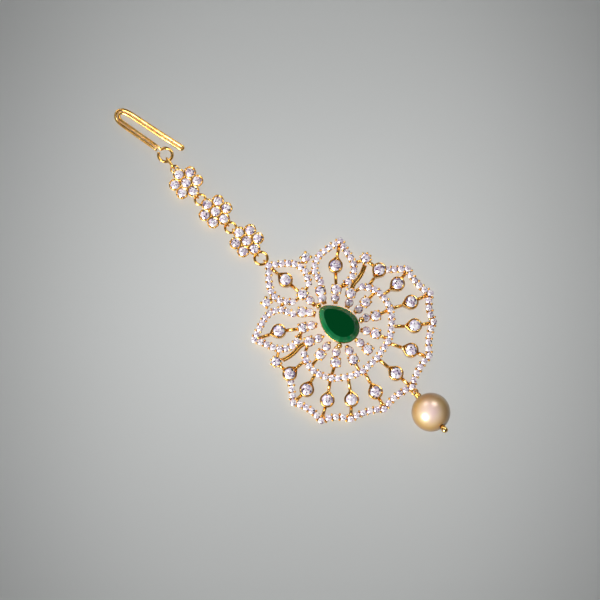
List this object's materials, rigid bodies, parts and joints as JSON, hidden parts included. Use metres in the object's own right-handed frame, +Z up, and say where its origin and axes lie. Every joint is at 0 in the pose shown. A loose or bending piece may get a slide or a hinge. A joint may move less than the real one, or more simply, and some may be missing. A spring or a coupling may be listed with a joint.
{
  "type": "maang tikka",
  "caption": "Gold-toned hair ornament: a wire hook, flower links, a round open-work pendant of clear stones round a green pear stone, and a pearl drop.",
  "frame": {"origin": "on the pendant's flat back, under the middle of the green stone", "axes": "+Y along the chain towards the hair hook, +Z up from the surface it lies on, +X to the right seen from above"},
  "size_m": [0.0384, 0.0976, 0.008],
  "materials": {
    "gold_plate": "polished gold plate",
    "clear_stone": "faceted",
    "green_stone": "faceted",
    "pearl": "pearl lustre"
  },
  "bodies": {
    "root": {"hook": "gold_plate", "hook_link": "gold_plate", "flower_link_1": "gold_plate", "flower_link_2": "gold_plate", "flower_link_3": "gold_plate", "flower_ring_1": "gold_plate", "flower_ring_2": "gold_plate", "pendant_ring": "gold_plate", "pendant_frame": "gold_plate", "pearl_pin": "gold_plate", "fan_stone_1": "clear_stone", "fan_stone_2": "clear_stone", "fan_stone_3": "clear_stone", "fan_stone_4": "clear_stone", "fan_stone_5": "clear_stone", "fan_stone_6": "clear_stone", "fan_stone_7": "clear_stone", "fan_stone_8": "clear_stone", "fan_stone_9": "clear_stone", "fan_stone_10": "clear_stone", "fan_stone_11": "clear_stone", "petal_stone_1": "clear_stone", "petal_stone_2": "clear_stone", "petal_stone_3": "clear_stone", "claw_stone_1": "clear_stone", "claw_stone_2": "clear_stone", "side_stone_1": "clear_stone", "side_stone_2": "clear_stone", "centre_stone": "green_stone", "pearl": "pearl"}
  },
  "joints": []
}
